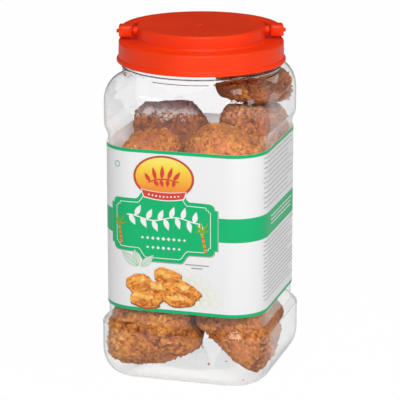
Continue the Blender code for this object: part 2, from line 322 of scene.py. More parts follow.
def make_inks():
    """The label's inks."""
    solid = {  # colour, roughness
        "shade": ((0.42, 0.46, 0.43), 0.4),
        "white": ((0.9, 0.9, 0.9), 0.32),
        "grey": ((0.36, 0.36, 0.37), 0.4),
        "red": ((0.72, 0.045, 0.025), 0.32),
        "rim": ((0.56, 0.055, 0.02), 0.32),
        "pale_yellow": ((0.84, 0.85, 0.50), 0.4),
        "pale_green": ((0.66, 0.78, 0.66), 0.4),
        "leaf_rib": ((0.36, 0.58, 0.36), 0.4),
        "cane": ((0.80, 0.30, 0.03), 0.35),
        "cane_joint": ((0.35, 0.10, 0.01), 0.35),
        "cane_leaf": ((0.22, 0.42, 0.02), 0.35),
        "lump_dark": ((0.36, 0.10, 0.02), 0.35),
    }
    blotchy = {  # dark, middle and light colour
        "lump_dim": ((0.45, 0.10, 0.01), (0.72, 0.22, 0.02), (0.88, 0.36, 0.05)),
        "lump": ((0.60, 0.15, 0.015), (0.93, 0.33, 0.035), (1.0, 0.52, 0.10)),
        "lump_light": ((0.92, 0.36, 0.04), (1.0, 0.52, 0.10), (1.0, 0.74, 0.30)),
    }
    sunset = [
        (0.0, (0.9, 0.12, 0.02)),
        (0.35, (0.95, 0.40, 0.03)),
        (0.75, (0.98, 0.72, 0.06)),
        (1.0, (0.98, 0.86, 0.2)),
    ]
    inks = {name: plain(f"ink_{name}", *look) for name, look in solid.items()}
    inks |= {name: printed_lump_material(f"ink_{name}", *colours) for name, colours in blotchy.items()}
    inks["green"] = plain("ink_green", (0.0, 0.48, 0.165), 0.36, specular=0.3)
    inks["emblem"] = faded_ink("ink_emblem", LABEL_BOTTOM + 72 * MM, LABEL_BOTTOM + 97 * MM, sunset)
    return inks


# ---------------------------------------------------------------- meshes


def add_object(name, data):
    """Puts an object into the scene."""
    obj = bpy.data.objects.new(name, data)
    bpy.context.scene.collection.objects.link(obj)
    return obj


def mesh_from(name, bm):
    """Turns a bmesh into a mesh."""
    mesh = bpy.data.meshes.new(name)
    bm.to_mesh(mesh)
    bm.free()
    return mesh


def put(name, bm, material, body, replaces=(), *, smooth):
    """Makes a piece of the object from a bmesh, shaded smooth where it turns by less than smooth degrees."""
    mesh = mesh_from(name, bm)
    obj = add_object(name, mesh)
    mesh.materials.append(material)
    mesh.shade_smooth()
    mesh.set_sharp_from_angle(angle=math.radians(smooth))
    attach(obj, body)
    if replaces:
        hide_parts(*replaces)
    return obj


def loft(bm, rings, closed=False):
    """Joins rings of points with quads and returns the rings' vertices."""
    rows = [[bm.verts.new(p) for p in ring] for ring in rings]
    pairs = list(zip(rows, rows[1:]))
    if closed:
        pairs.append((rows[-1], rows[0]))
    for low, high in pairs:
        for i in range(len(low)):
            j = (i + 1) % len(low)
            bm.faces.new((low[i], low[j], high[j], high[i]))
    return rows


def cap(bm, row, point):
    """Closes a ring with a fan of triangles to a point."""
    tip = bm.verts.new(point)
    for i in range(len(row)):
        bm.faces.new((row[i], row[(i + 1) % len(row)], tip))


def square_radius(angle, half, corner):
    """How far a square with rounded corners reaches from its middle in a direction."""
    turn = angle % (math.pi / 2)
    turn = min(turn, math.pi / 2 - turn)
    middle = half - corner
    if half * math.tan(turn) <= middle:
        return half / math.cos(turn)
    across = math.cos(turn) - math.sin(turn)
    along = math.cos(turn) + math.sin(turn)
    return middle * along + math.sqrt(corner**2 - (middle * across) ** 2)


def smooth_step(low, high, value):
    """0 up to low, 1 from high on, and a smooth rise between them."""
    share = min(max((value - low) / (high - low), 0), 1)
    return share * share * (3 - 2 * share)


def outset(height):
    """How far the jar's outline stands out from the label panel's at a height."""
    if height < FOOT_ROUND:
        drop = (FOOT_ROUND - height) / FOOT_ROUND
        return FOOT_OUT - FOOT_TUCK * (1 - math.sqrt(1 - drop**2))
    if height > SHOULDER_ROUND_START:
        rise = min((height - SHOULDER_ROUND_START) / SHOULDER_RISE, 1)
        return SHOULDER_OUT - SHOULDER_RUN * (1 - math.sqrt(1 - rise**2))
    foot = 1 - smooth_step(FOOT_TOP, PANEL_BOTTOM, height)
    shoulder = smooth_step(PANEL_TOP, SHOULDER_BOTTOM, height)
    return FOOT_OUT * foot + SHOULDER_OUT * shoulder


def neck_radius(height):
    """The neck with its bead, and a second low ring just above the shoulder."""
    off = (height - BEAD_HEIGHT) / (0.9 * MM)
    ring = (height - BEAD_HEIGHT + 3.4 * MM) / (0.6 * MM)
    return NECK_RADIUS + BEAD_PROUD * math.exp(-(off**2)) + 0.5 * MM * math.exp(-(ring**2))


def jar_radius(angle, height):
    """How far the jar's outside is from its axis in a direction, at a height."""
    out = outset(height)
    body = square_radius(angle, PANEL_HALF + out, PANEL_CORNER + out)
    if height < SHOULDER_ROUND_START:
        return body
    flatness = math.cos(2 * ((angle + math.pi / 4) % (math.pi / 2) - math.pi / 4)) ** 2
    body -= 2.4 * MM * flatness * smooth_step(165 * MM, 181 * MM, height)
    neck = neck_radius(height)
    blend = 0.3 * MM
    gap = (body - neck) / blend
    notch = CREASE * math.exp(-(((body - neck) / (0.45 * MM)) ** 2))
    return max(body, neck) + blend * math.log(1 + math.exp(-abs(gap))) * 0.6 - notch


def jar_heights():
    """Heights of the jar's rings from the foot up, closer together where the outline turns."""
    heights = [FOOT_ROUND * (1 - math.cos(math.pi / 2 * i / 18)) for i in range(18)]
    spans = (
        (FOOT_ROUND, FOOT_TOP, 8),
        (FOOT_TOP, PANEL_BOTTOM, 10),
        (PANEL_BOTTOM, PANEL_TOP, 30),
        (PANEL_TOP, SHOULDER_BOTTOM, 12),
        (SHOULDER_BOTTOM, SHOULDER_ROUND_START, 8),
    )
    for low, high, count in spans:
        heights += [low + (high - low) * i / count for i in range(count)]
    rise = [math.sin(math.pi / 2 * i / 22) for i in range(22)]
    heights += [SHOULDER_ROUND_START + SHOULDER_RISE * r for r in rise]
    heights = [h for h in heights if h < NECK_RINGS_START]
    return heights + list(np.arange(NECK_RINGS_START, MOUTH_TOP, 0.3 * MM))


def wall_ring(angles, height):
    """One ring of the jar's outside, slightly wavy as a blown wall is, but never out through the label."""
    ring = []
    for a in angles:
        r = jar_radius(a, height)
        p = Vector((math.cos(a), math.sin(a), 0)) * r + Vector((0, 0, height))
        wave = noise.noise(p * 28) * 0.10 * MM + noise.noise(p * 70) * 0.02 * MM
        wave *= smooth_step(0, 12 * MM, height)
        if LABEL_BOTTOM - 3 * MM < height < LABEL_TOP + 3 * MM:
            wave = -abs(wave)
        if height > 183 * MM:
            wave *= 0.3
        p.x += math.cos(a) * wave
        p.y += math.sin(a) * wave
        ring.append(p)
    return ring


def floor_rings(angles):
    """Rings of the jar's underside: the flat ring it stands on, then the pushed-up middle."""
    out = outset(0)
    edge = [square_radius(a, PANEL_HALF + out, PANEL_CORNER + out) for a in angles]
    inset = out - STAND_RING
    inner_edge = [square_radius(a, PANEL_HALF + inset, PANEL_CORNER + inset) for a in angles]
    rings = []
    for share in (0.5, 1.0):
        across = [e * (1 - share) + i * share for e, i in zip(edge, inner_edge)]
        rings.append([(r * math.cos(a), r * math.sin(a), 0) for a, r in zip(angles, across)])
    for step in range(1, 41):
        share = step / 41
        ring = []
        for a, i in zip(angles, inner_edge):
            round_part = smooth_step(0, 0.3, share)
            r = i * (1 - share) * (1 - round_part) + PUSH_UP_FOOT * (1 - share) * round_part
            z = PUSH_UP_HEIGHT * smooth_step(0, 0.22, share) + PUSH_UP_CROWN * share
            for ridge in (26 * MM, 12 * MM):  # two low ridges round the middle
                off = (r - ridge) / (0.9 * MM)
                z += 0.05 * MM * math.exp(-(off**2))
            ring.append((r * math.cos(a), r * math.sin(a), z))
        rings.append(ring)
    return rings


def make_jar(material):
    """The clear jar: one blown wall, slightly wavy, with rings in its floor and a bead under the lid."""
    around = 180
    angles = [2 * math.pi * (i + 0.5) / around for i in range(around)]
    bm = bmesh.new()
    rings = [wall_ring(angles, h) for h in reversed(jar_heights())]
    rows = loft(bm, rings + floor_rings(angles))
    cap(bm, rows[-1], (0, 0, PUSH_UP_HEIGHT + PUSH_UP_CROWN))
    bmesh.ops.recalc_face_normals(bm, faces=bm.faces)
    jar = put("jar_wall", bm, material, BODY, ["jar"], smooth=60)
    wall = jar.modifiers.new("wall", "SOLIDIFY")
    wall.thickness = 0.75 * MM
    wall.offset = -1
    return jar


def fillet(centre, radius, start, end, count=8):
    """Points round an arc in a section of (radius, height) points, angles in degrees."""
    return [
        (
            centre[0] + radius * math.cos(math.radians(start + (end - start) * i / count)),
            centre[1] + radius * math.sin(math.radians(start + (end - start) * i / count)),
        )
        for i in range(count + 1)
    ]


def lathe(bm, section, around, place=Matrix.Identity(4)):
    """Turns a closed section of (radius, height) points about Z. A point at radius 0 closes the end."""
    points = list(section)
    ends = []
    if points[0][0] == 0:
        ends.append((0, points.pop(0)[1]))
    if points[-1][0] == 0:
        ends.append((-1, points.pop()[1]))
    rings = [
        [
            place @ Vector((r * math.cos(t), r * math.sin(t), z))
            for t in (2 * math.pi * i / around for i in range(around))
        ]
        for r, z in points
    ]
    rows = loft(bm, rings, closed=not ends)
    for index, z in ends:
        cap(bm, rows[index], place @ Vector((0, 0, z)))


def pin_place(sign):
    """The place of a hinge pin's section: its axis runs out along the hinge's, to one side or the other."""
    turn = Matrix.Rotation(HANDLE_TURN, 4, "Z") @ Matrix.Translation((0, 0, PIVOT_HEIGHT))
    return turn @ Matrix.Rotation(sign * math.pi / 2, 4, "Y")


def make_lid(material):
    """The screw lid, with rounded edges, a flared lip, a small groove round the disc, and pin bosses."""
    edge = 1.3 * MM
    lip_top = LIP_BOTTOM + 1.9 * MM
    under = LID_DECK - LID_WALL
    inside = DISC_RADIUS - LID_WALL
    section = [(0, LID_TOP - 0.5 * MM), (1.6 * MM, LID_TOP - 0.5 * MM), (1.9 * MM, LID_TOP - 0.25 * MM)]
    section += [(2.4 * MM, LID_TOP - 0.25 * MM)]
    section += [(r * MM, LID_TOP - 0.25 * MM + 0.1 * MM * smooth_step(4, 34, r)) for r in range(4, 35, 3)]
    section += [(35.4 * MM, LID_TOP - 0.1 * MM), (36.1 * MM, LID_TOP)]
    section += fillet((DISC_RADIUS - edge, LID_TOP - edge), edge, 90, 0)
    section += fillet((DISC_RADIUS + 1.6 * MM, LID_DECK + 1.6 * MM), 1.6 * MM, 180, 270)
    section += [(DISC_RADIUS + 2.4 * MM, LID_DECK), (45 * MM, LID_DECK - 0.05 * MM)]
    section += fillet((SKIRT_RADIUS - edge, LID_DECK - edge), edge, 90, 0)
    section += [(SKIRT_RADIUS, 203 * MM), (SKIRT_RADIUS + 0.15 * MM, 199 * MM)]
    section += fillet((SKIRT_RADIUS + 1.35 * MM, lip_top + 1.2 * MM), 1.2 * MM, 180, 250, 5)
    section += fillet((LIP_RADIUS - 0.5 * MM, LIP_BOTTOM + 1.2 * MM), 0.5 * MM, 70, 0, 4)
    section += fillet((LIP_RADIUS - 0.4 * MM, LIP_BOTTOM + 0.4 * MM), 0.4 * MM, 0, -90, 4)
    section += [
        (LID_INSIDE_RADIUS, LIP_BOTTOM),
        (LID_INSIDE_RADIUS, under),
        (inside, under),
        (inside, LID_TOP - LID_WALL),
        (0, LID_TOP - LID_WALL),
    ]
    bm = bmesh.new()
    lathe(bm, section, 192)
    for sign in (-1, 1):
        ring = [(SOCKET_RADIUS, DISC_RADIUS - 0.6 * MM), (BOSS_RADIUS, DISC_RADIUS - 0.6 * MM)]
        ring += fillet((BOSS_RADIUS - 0.4 * MM, BOSS_END - 0.4 * MM), 0.4 * MM, 0, 90, 4)
        ring += [(SOCKET_RADIUS + 0.2 * MM, BOSS_END), (SOCKET_RADIUS, BOSS_END - 0.2 * MM)]
        lathe(bm, ring, 40, pin_place(sign))
    bmesh.ops.recalc_face_normals(bm, faces=bm.faces)
    return put("lid_shell", bm, material, BODY, ["lid"], smooth=35)


def bar_section(direction, shift, thick, narrow=0.0):
    """The rounded section of the handle's bar where it crosses a direction from the axis."""
    half = thick / 2
    edge = 1.1 * MM
    middle = (HANDLE_INNER + HANDLE_OUTER) / 2
    half_width = (HANDLE_OUTER - HANDLE_INNER) / 2 - narrow
    across = Vector((math.cos(direction), math.sin(direction), 0))
    points = []
    for side, rise, start in ((1, -1, -90), (1, 1, 0), (-1, 1, 90), (-1, -1, 180)):
        for step in range(0, 91, 18):
            turn = math.radians(start + step)
            r = side * (half_width - edge) + edge * math.cos(turn)
            z = rise * (half - edge) + edge * math.sin(turn)
            points.append(across * (middle + r) + shift + Vector((0, 0, PIVOT_HEIGHT + z)))
    return points


def make_handle(material):
    """The carry handle: a half ring that thins between its end blocks, with a pin through each block."""
    bm = bmesh.new()
    rings = []
    block = HANDLE_THICK + 0.9 * MM
    past = HANDLE_PAST_PIN + 1.0 * MM
    ends = [(-past, 0.5), (-past + 0.25 * MM, 0.2), (-past + 0.6 * MM, 0), (0, 0)]
    for y, shrink in ends:
        rings.append(bar_section(0, Vector((0, y, 0)), block - shrink * 2 * MM, shrink * MM))
    steps = 120
    for i in range(1, steps):
        turn = math.pi * i / steps
        arc = min(turn, math.pi - turn) * 45 * MM
        thin = smooth_step(5 * MM, 7.5 * MM, arc)
        rings.append(bar_section(turn, Vector(), block - 2.1 * MM * thin, 0.9 * MM * thin))
    for y, shrink in reversed(ends):
        rings.append(bar_section(math.pi, Vector((0, y, 0)), block - shrink * 2 * MM, shrink * MM))
    rows = loft(bm, rings)
    for row in (rows[0], rows[-1]):
        middle = sum((v.co for v in row), Vector()) / len(row)
        cap(bm, row, middle)
    bmesh.ops.transform(bm, matrix=Matrix.Rotation(HANDLE_TURN, 4, "Z"), verts=bm.verts)
    for sign in (-1, 1):
        pin = [(0, 39.6 * MM), (PIN_RADIUS, 39.6 * MM)]
        pin += fillet((PIN_RADIUS - 0.5 * MM, NUB_END - 0.5 * MM), 0.5 * MM, 0, 90, 5)
        pin += [(0, NUB_END)]
        lathe(bm, pin, 28, pin_place(sign))
    bmesh.ops.recalc_face_normals(bm, faces=bm.faces)
    return put("handle_bar", bm, material, GRIP, ["handle"], smooth=45)


# ---------------------------------------------------------------- label

FLAT = LABEL_HALF - LABEL_CORNER  # half the flat part of each side
ARC = math.pi / 2 * LABEL_CORNER
AROUND = 8 * FLAT + 4 * ARC  # length once round the label
HEIGHT = LABEL_TOP - LABEL_BOTTOM

# The print's own sizes and places are in millimetres: u runs right from a panel's middle, v up from the
# label's bottom edge.
LAP = AROUND / MM
STRIPE = 2.05
BAND = (47.0, 61.8)
PLAQUE_MIDDLE = (-9.4, 53.8)
EMBLEM_MIDDLE = (-8.6, 84.3)
PRINTS = (  # each skin of ink: its name, its ink, and its layer (a higher layer lies over a lower one)
    ("green", "green", 0),
    ("plaque_shade", "shade", 1),
    ("plaque", "green", 2),
    ("white", "white", 3),
    ("emblem_rim", "rim", 3),
    ("emblem", "emblem", 4),
    ("ribbon_edge", "white", 5),
    ("ribbon", "red", 6),
    ("ribbon_dots", "white", 7),
    ("motif", "red", 7),
    ("pale_ornament", "pale_yellow", 1),
    ("pale_leaves", "pale_green", 3),
    ("leaf_ribs", "leaf_rib", 4),
    ("cane_stalks", "cane", 4),
    ("cane_joints", "cane_joint", 5),
    ("cane_leaves", "cane_leaf", 6),
    ("lumps_shade", "lump_dark", 5),
    ("lumps", "lump", 6),
    ("lump_darks", "lump_dim", 7),
    ("lump_lights", "lump_light", 8),
    ("ring", "green", 2),
    ("small_bars", "grey", 1),
    ("band_bars", "white", 1),
)


def on_label(u, v, lift=0.0):
    """A point on the label: u runs right from the middle of the front panel, v up from the bottom edge."""
    u = (u + FLAT) % AROUND
    side, along = divmod(u, 2 * FLAT + ARC)
    turn = side * math.pi / 2
    if along <= 2 * FLAT:
        x, y = along - FLAT, -(LABEL_HALF + lift)
    else:
        swing = (along - 2 * FLAT) / LABEL_CORNER
        x = FLAT + (LABEL_CORNER + lift) * math.sin(swing)
        y = -FLAT - (LABEL_CORNER + lift) * math.cos(swing)
    c, s = math.cos(turn), math.sin(turn)
    return Vector((x * c - y * s, x * s + y * c, LABEL_BOTTOM + v))


def label_columns():
    """Places round the label where its mesh has an edge: close together in the corners."""
    columns = []
    for side in range(4):
        start = side * (2 * FLAT + ARC) - FLAT
        columns += [start + 2 * FLAT * i / 8 for i in range(8)]
        columns += [start + 2 * FLAT + ARC * i / 28 for i in range(28)]
    return columns


def make_label(material, inside):
    """The printed film: a thin sleeve round the panel."""
    bm = bmesh.new()
    columns = label_columns()
    inner = -0.2 * MM
    section = [(0.0, 0.0), (0.0, HEIGHT), (inner, HEIGHT), (inner, 0.0)]
    rings = [[on_label(u, v, lift) for u in columns] for lift, v in section]
    loft(bm, rings, closed=True)
    bmesh.ops.recalc_face_normals(bm, faces=bm.faces)
    for face in bm.faces:
        middle = face.calc_center_median()
        if face.normal.dot(Vector((middle.x, middle.y, 0)).normalized()) < -0.5:
            face.material_index = 1
    sleeve = put("label_sleeve", bm, material, BODY, ["label"], smooth=30)
    sleeve.data.materials.append(inside)
    return sleeve


class Print:
    """Printed shapes of one ink, as a thin skin just off the label. Shapes are in millimetres (u, v)."""

    def __init__(self, name, material, layer):
        self.name, self.material, self.layer = name, material, layer
        self.bm = bmesh.new()
        self.rise = 0.0  # keeps overlapping shapes of one ink from lying in the same place

    def next_rise(self):
        """The next shape's own small height."""
        self.rise = (self.rise + 0.002) % 0.03
        return self.rise

    def polygon(self, outline):
        """The area inside an outline."""
        rise = self.next_rise()
        verts = [self.bm.verts.new((u, v, rise)) for u, v in outline]
        self.bm.faces.new(verts)

    def strip(self, first, second, closed=False):
        """The area between two lines with the same number of points."""
        rise = self.next_rise()
        a = [self.bm.verts.new((u, v, rise)) for u, v in first]
        b = [self.bm.verts.new((u, v, rise)) for u, v in second]
        count = len(a) if closed else len(a) - 1
        for i in range(count):
            j = (i + 1) % len(a)
            self.bm.faces.new((a[i], a[j], b[j], b[i]))

    def box(self, u0, u1, v0, v1):
        """An upright rectangle."""
        self.polygon([(u0, v0), (u1, v0), (u1, v1), (u0, v1)])

    def line(self, points, width, closed=False):
        """A line of even width along points."""
        left, right = [], []
        n = len(points)
        for i, (u, v) in enumerate(points):
            before = points[i - 1] if i or closed else points[i]
            after = points[(i + 1) % n] if i < n - 1 or closed else points[i]
            du, dv = after[0] - before[0], after[1] - before[1]
            length = math.hypot(du, dv) or 1
            nu, nv = -dv / length * width / 2, du / length * width / 2
            left.append((u + nu, v + nv))
            right.append((u - nu, v - nv))
        self.strip(left, right, closed)

    def finish(self):
        """Cuts the shapes where the label bends, lays them round it and makes the piece."""
        bm = self.bm
        bmesh.ops.triangulate(bm, faces=bm.faces)
        us = [v.co.x for v in bm.verts]
        low, high = min(us), max(us)
        columns = sorted(c / MM + k * LAP for c in label_columns() for k in (-1, 0, 1))
        for c in columns:
            if low < c < high:
                bmesh.ops.bisect_plane(
                    bm,
                    geom=[*bm.verts, *bm.edges, *bm.faces],
                    dist=1e-5,
                    plane_co=(c, 0, 0),
                    plane_no=(1, 0, 0),
                )
        lift = (0.03 + 0.035 * self.layer) * MM
        for vert in bm.verts:
            vert.co = on_label(vert.co.x * MM, vert.co.y * MM, lift + vert.co.z * MM)
        for face in bm.faces:
            face.normal_update()
            middle = face.calc_center_median()
            if face.normal.dot(Vector((middle.x, middle.y, 0))) < 0:
                face.normal_flip()
        return put(self.name, bm, self.material, BODY, smooth=30)


def ellipse(cu, cv, ru, rv, count=72, start=0.0, end=2 * math.pi):
    """Points round an ellipse, or along its arc from start to end."""
    full = abs(end - start - 2 * math.pi) < 1e-6
    n = count if full else count + 1
    angles = [start + (end - start) * i / count for i in range(n)]
    return [(cu + ru * math.cos(a), cv + rv * math.sin(a)) for a in angles]


def leaf(u, v, angle, length, width, bend=0.0, count=12):
    """A pointed leaf from its stalk end at (u, v), bent sideways by bend millimetres."""
    c, s = math.cos(math.radians(angle)), math.sin(math.radians(angle))
    left, right = [], []
    for i in range(count + 1):
        t = i / count
        half = width / 2 * math.sin(math.pi * t**0.8)
        x, y = length * t, bend * t * t
        left.append((u + x * c - (y + half) * s, v + x * s + (y + half) * c))
        right.append((u + x * c - (y - half) * s, v + x * s + (y - half) * c))
    return left + right[-2:0:-1]


def leaf_rib(u, v, angle, length, bend, count=8):
    """The middle line of a leaf, up to just short of its tip."""
    c, s = math.cos(math.radians(angle)), math.sin(math.radians(angle))
    points = []
    for i in range(count + 1):
        t = 0.92 * i / count
        x, y = length * t, bend * t * t
        points.append((u + x * c - y * s, v + x * s + y * c))
    return points


def blob(cu, cv, ru, rv, tilt, seed, rough=0.10, count=56):
    """A lump's uneven outline."""
    c, s = math.cos(math.radians(tilt)), math.sin(math.radians(tilt))
    points = []
    for i in range(count):
        a = 2 * math.pi * i / count
        at = Vector((math.cos(a), math.sin(a), 0))
        k = 1 + rough * noise.noise(at * 1.7 + Vector((seed, 0, 0))) * 2
        k += rough * 0.5 * noise.noise(at * 6 + Vector((0, seed, 0)))
        x, y = ru * k * math.cos(a), rv * k * math.sin(a)
        points.append((cu + x * c - y * s, cv + x * s + y * c))
    return points


def plaque_outline(inset=0.0):
    """The green plaque: bumps at the middle of its top and bottom, rounded corners and a tab at each side."""
    quarter = []
    n = 24
    for i in range(n + 1):  # from the top's middle out to the corner
        u = (30.4 - inset) * i / n
        bump = 5.4 * (1 - smooth_step(11.5 - inset * 0.4, 16.5 - inset * 0.4, u))
        crown = 0.8 * (1 - (u / 30.4) ** 2)
        quarter.append((u, 16.2 + bump + crown * 0.6 - inset))
    corner = 3.4 - inset * 0.3
    cu, cv = 32.2 - inset - corner, 16.2 - inset - corner
    quarter = [p for p in quarter if p[0] < cu]
    if inset:
        quarter += [(cu, 16.2 - inset), (cu, cv + corner * 0.45), (cu + corner * 0.55, cv + corner * 0.45)]
        quarter += [(cu + corner * 0.55, cv), (32.2 - inset, cv), (32.2 - inset, 0)]
    else:
        turns = [i * math.pi / 16 for i in range(9)]
        quarter += [(cu + corner * math.sin(t), cv + corner * math.cos(t)) for t in turns]
        quarter += [(32.2, 12.5), (34.2, 12.5), (34.2, 0)]
    right = quarter + [(u, -v) for u, v in reversed(quarter[:-1])]
    left = [(-u, v) for u, v in reversed(right[1:-1])]
    return right + left


def print_stripes(prints):
    """The stripes at the label's edges and the green band, all the way round."""
    top = HEIGHT / MM
    columns = [c / MM for c in label_columns()]
    columns.append(columns[0] + LAP)
    for low, high in ((0.0, STRIPE), (top - STRIPE, top), BAND):
        prints["green"].strip([(c, low) for c in columns], [(c, high) for c in columns])


def print_plaque(prints, pu, pv):
    """The green plaque with its soft shade and its white inner line."""
    outline = plaque_outline()
    prints["plaque_shade"].polygon([(pu + u * 1.012 + 0.25, pv + v * 1.012 - 0.3) for u, v in outline])
    prints["plaque"].polygon([(pu + u, pv + v) for u, v in outline])
    prints["white"].line([(pu + u, pv + v) for u, v in plaque_outline(2.4)], 0.42, closed=True)


def print_emblem(prints, eu, ev):
    """The oval emblem with a red sprig."""
    prints["emblem_rim"].polygon(ellipse(eu, ev, 18.9, 13.5))
    prints["emblem"].polygon(ellipse(eu, ev + 0.1, 17.5, 12.2))
    stem = ((-9.5, -3.4), (-4, -1.2), (2, -0.8), (9.5, -2.2))
    prints["motif"].line([(eu + du, ev + dv) for du, dv in stem], 0.8)
    sprig = (  # each leaf's foot, angle and length
        (-8.5, -3.0, 118, 6.5),
        (-5.0, -1.6, 100, 8.0),
        (-1.2, -0.9, 84, 8.6),
        (2.6, -0.8, 66, 8.2),
        (6.0, -1.3, 48, 7.2),
        (-5.6, -2.0, -62, 4.2),
        (-1.6, -1.2, -84, 4.8),
        (2.8, -1.0, -102, 4.6),
        (7.0, -1.8, -118, 3.8),
    )
    for du, dv, angle, length in sprig:
        prints["motif"].polygon(leaf(eu + du, ev + dv, angle, length, 2.5, 0.5))


def print_ribbon(prints, eu):
    """The ribbon under the emblem, a curved strip with a row of dots."""
    steps = [i / 20 * 2 - 1 for i in range(21)]
    for name, low, high, low_half, high_half in (
        ("ribbon", 70.6, 75.0, 12.2, 13.8),
        ("ribbon_edge", 70.0, 75.4, 12.7, 14.4),
    ):
        lower = [(eu + low_half * t, low + 1.5 * t * t) for t in steps]
        upper = [(eu + high_half * t, high + 1.3 * t * t) for t in steps]
        prints[name].strip(lower, upper)
    for i in range(-4, 5):
        du = i * 2.3
        prints["ribbon_dots"].polygon(ellipse(eu + du, 72.6 + 1.4 * (du / 12) ** 2, 0.55, 0.55, 14))


def print_garland(prints, pu, pv):
    """On the plaque: a white garland, a row of diamonds and a row of dots."""
    white = prints["white"]
    gu, gv = pu + 1.0, pv + 5.0
    steps = [i / 24 * 2 - 1 for i in range(25)]
    white.line([(gu + 23.5 * t, gv + 1.4 * math.sin(t * 5)) for t in steps], 0.7)
    for i in range(13):
        t = (i - 6) / 6
        up = 1 if i % 2 else -1
        white.polygon(leaf(gu + 22 * t, gv + 1.4 * math.sin(t * 5), up * (62 + 10 * t), 7.4, 3.3, 0.8 * up))
    for i in range(-4, 5):
        size = 1.25 - 0.09 * abs(i)
        cu, cv = pu + 0.5 + i * 3.3, pv - 7.4
        white.polygon([(cu - size, cv), (cu, cv - size), (cu + size, cv), (cu, cv + size)])
    for i in range(-3, 4):
        size = 0.95 - 0.08 * abs(i)
        white.polygon(ellipse(pu + 0.5 + i * 3.3, pv - 13.2, size, size, 20))


def print_cane(prints, cu, base, tip, lean):
    """A sugar cane: a jointed stalk from height base to tip, leaning sideways, and its leaves."""
    parts = 4
    for i in range(parts):
        t0, t1 = i / parts, (i + 1) / parts - 0.03
        v0, v1 = base + (tip - base) * t0, base + (tip - base) * t1
        x0, x1 = cu + lean * t0, cu + lean * t1
        prints["cane_stalks"].polygon([(x0 - 0.85, v0), (x0 + 0.85, v0), (x1 + 0.85, v1), (x1 - 0.85, v1)])
        prints["cane_joints"].box(x0 - 1.0, x0 + 1.0, v0 - 0.2, v0 + 0.25)
    fan = ((144, 4.4, 1.8), (116, 7.0, 1.2), (96, 8.4, 0.5), (70, 8.6, -1.6), (44, 6.4, -2.6))
    for angle, length, bend in fan:
        prints["cane_leaves"].polygon(leaf(cu + lean, tip, angle, length, 1.25, bend))


def print_pale_leaves(prints, middle):
    """The pale green leaves under the plaque."""
    for du, lv, angle, length, width, bend in (
        (-25.4, 28.0, 136, 13.4, 5.0, 1.0),
        (-25.0, 28.2, 106, 10.5, 3.8, -0.8),
        (-23.2, 28.3, 37, 11.0, 4.4, 1.0),
    ):
        outline = leaf(middle + du, lv, angle, length, width, bend, 16)
        prints["pale_leaves"].polygon(outline)
        prints["leaf_ribs"].line(outline, 0.28, closed=True)
        prints["leaf_ribs"].line(leaf_rib(middle + du, lv, angle, length, bend), 0.25)


def print_lump_picture(prints, middle):
    """The picture of six lumps, each with a dark edge, a dim lower part and a light upper part."""
    for du, cv, ru, rv, tilt, seed in (
        (-6.6, 23.0, 9.2, 5.2, -8, 1),
        (-24.5, 17.6, 8.2, 6.2, 14, 2),
        (5.0, 15.0, 9.6, 5.6, -20, 5),
        (-20.2, 7.2, 10.0, 5.6, -2, 4),
        (0.4, 8.4, 10.4, 4.2, -2, 6),
        (-10.6, 14.4, 9.4, 5.4, -10, 3),
    ):
        cu = middle + du
        prints["lumps_shade"].polygon(blob(cu + 0.3, cv - 0.55, ru, rv, tilt, seed))
        prints["lumps"].polygon(blob(cu, cv + 0.2, ru * 0.96, rv * 0.93, tilt, seed))
        dim = blob(cu + ru * 0.12, cv - rv * 0.42, ru * 0.72, rv * 0.34, tilt, seed + 5, 0.25)
        prints["lump_darks"].polygon(dim)
        light = blob(cu - ru * 0.15, cv + rv * 0.35, ru * 0.55, rv * 0.32, tilt, seed + 9, 0.3)
        prints["lump_lights"].polygon(light)


def print_ornament(prints, middle):
    """The pale ornament behind the picture: three rows of petals and three arcs, above the lower stripe."""
    pale = prints["pale_ornament"]
    ou, ov = middle + 3.0, 5.0
    lowest = 2.6
    for radius, petals, width in ((9.5, 12, 4.2), (14.5, 16, 5.0), (20.5, 20, 5.4)):
        for i in range(petals):
            a = math.pi * 2 * (i + 0.5) / petals
            foot = radius - 2.6
            petal = leaf(ou + foot * math.cos(a), ov + foot * math.sin(a), math.degrees(a), 5.6, width)
            if min(v for _, v in petal) > lowest:
                pale.line(petal, 0.34, closed=True)
    for radius in (7.0, 12.0, 17.5):
        arc = ellipse(ou, ov, radius, radius, 60, 0.06, math.pi - 0.06)
        pale.line([p for p in arc if p[1] > lowest], 0.3)


def print_fine_bars(skin, middle, rng):
    """Rows of fine bars above and below a side panel's band, in place of small print."""
    left = middle - 36
    for low, high, pitch in ((64.8, 96.5, 3.05), (5.5, 44.5, 2.6)):
        v = high
        while v > low:
            end = left + 72 * rng.uniform(0.72, 1.0)
            u = left + rng.uniform(0, 1.2)
            while u < end:
                word = rng.uniform(1.6, 5.4)
                skin.box(u, u + word, v - 0.26, v + 0.26)
                u += word + rng.uniform(0.7, 1.1)
            v -= pitch


def print_band_bars(skin, middle, rng):
    """Three rows of bars on a side panel's band."""
    for v in (57.6, 55.2, 52.8):
        u = middle - 22
        while u < middle + 24:
            word = rng.uniform(2.0, 5.0)
            skin.box(u, u + word, v - 0.5, v + 0.5)
            u += word + 0.9


